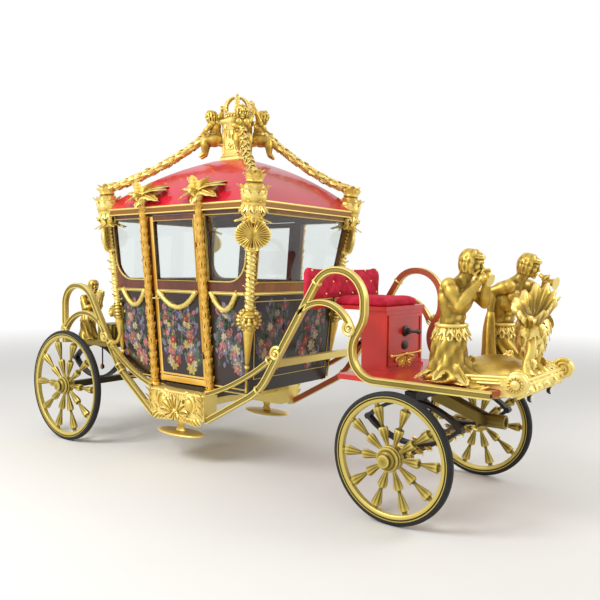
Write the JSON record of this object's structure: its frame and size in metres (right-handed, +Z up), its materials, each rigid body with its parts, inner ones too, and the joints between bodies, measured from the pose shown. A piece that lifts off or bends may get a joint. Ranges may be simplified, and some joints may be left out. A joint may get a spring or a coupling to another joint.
{
  "type": "ceremonial state coach",
  "caption": "Gilt ceremonial coach with a glazed cabin on open scrolled side frames, a driver's deck, spoked wheels and a turning front carriage.",
  "frame": {"origin": "on the ground under the middle of the coach's overall box", "axes": "+X forward towards the driver's deck, +Y to the coach's left, +Z up"},
  "size_m": [5.0078, 1.812, 3.335],
  "materials": {
    "gilt": "gold paint, satin",
    "pale_gilt": "pale gold paint, satin",
    "roof_red": "red gloss paint",
    "deck_red": "red gloss paint",
    "panel_brown": "dark red-brown lacquer",
    "glass": "clear",
    "velvet": "crimson velvet",
    "tyre": "solid rubber",
    "iron": "dark paint"
  },
  "bodies": {
    "coach_body": {"belt_moulding": "pale_gilt", "cabin_floor": "panel_brown", "cabin_front_wall": "panel_brown", "cabin_glass": "glass", "cabin_left_wall": "panel_brown", "cabin_rear_wall": "panel_brown", "cabin_right_wall": "panel_brown", "cabin_seats": "velvet", "corner_posts": "gilt", "cross_members": "pale_gilt", "crown": "gilt", "driver_deck": "deck_red", "entry_steps": "gilt", "front_figure_left": "gilt", "front_figure_right": "gilt", "front_scroll": "gilt", "palm_posts": "gilt", "rear_axle": "iron", "rear_figures": "gilt", "rear_platform": "pale_gilt", "rear_springs": "iron", "roof": "roof_red", "roof_cornice": "pale_gilt", "roof_figures": "gilt", "roof_garlands": "gilt", "seat_back": "velvet", "seat_box": "deck_red", "seat_cushion": "velvet", "shell_footboard": "gilt", "side_frame_front_left": "gilt", "side_frame_front_right": "gilt", "side_frame_rear_left": "gilt", "side_frame_rear_right": "gilt", "sill_boxes": "gilt", "turning_plate_upper": "iron"},
    "front_carriage": {"front_axle": "iron", "front_springs": "iron", "pole_socket": "iron", "turning_plate_lower": "iron"},
    "front_wheel_left": {"wheel_front_left": "pale_gilt", "tyre_front_left": "tyre"},
    "front_wheel_right": {"wheel_front_right": "pale_gilt", "tyre_front_right": "tyre"},
    "rear_wheel_left": {"wheel_rear_left": "pale_gilt", "tyre_rear_left": "tyre"},
    "rear_wheel_right": {"wheel_rear_right": "pale_gilt", "tyre_rear_right": "tyre"},
    "door_left": {"door_left": "panel_brown", "door_glass_left": "glass"},
    "door_right": {"door_right": "panel_brown", "door_glass_right": "glass"}
  },
  "joints": [
    {"name": "steering", "type": "hinge", "parent": "coach_body", "child": "front_carriage", "pos_m": [1.67, 0, 0.45], "axis": [0, 0, 1], "range_deg": [-30, 30]},
    {"name": "front_left_spin", "type": "hinge", "parent": "front_carriage", "child": "front_wheel_left", "pos_m": [1.67, 0.729, 0.45], "axis": [0, 1, 0], "continuous": true},
    {"name": "front_right_spin", "type": "hinge", "parent": "front_carriage", "child": "front_wheel_right", "pos_m": [1.67, -0.729, 0.45], "axis": [0, 1, 0], "continuous": true},
    {"name": "rear_left_spin", "type": "hinge", "parent": "coach_body", "child": "rear_wheel_left", "pos_m": [-1.97, 0.796, 0.54], "axis": [0, 1, 0], "continuous": true},
    {"name": "rear_right_spin", "type": "hinge", "parent": "coach_body", "child": "rear_wheel_right", "pos_m": [-1.97, -0.796, 0.54], "axis": [0, 1, 0], "continuous": true},
    {"name": "door_left_hinge", "type": "hinge", "parent": "coach_body", "child": "door_left", "pos_m": [-0.266, 0.5782, 0.96], "axis": [0, 0.0928, 0.9957], "range_deg": [-85, 0]},
    {"name": "door_right_hinge", "type": "hinge", "parent": "coach_body", "child": "door_right", "pos_m": [-0.266, -0.5782, 0.96], "axis": [0, -0.0928, 0.9957], "range_deg": [0, 85]}
  ]
}
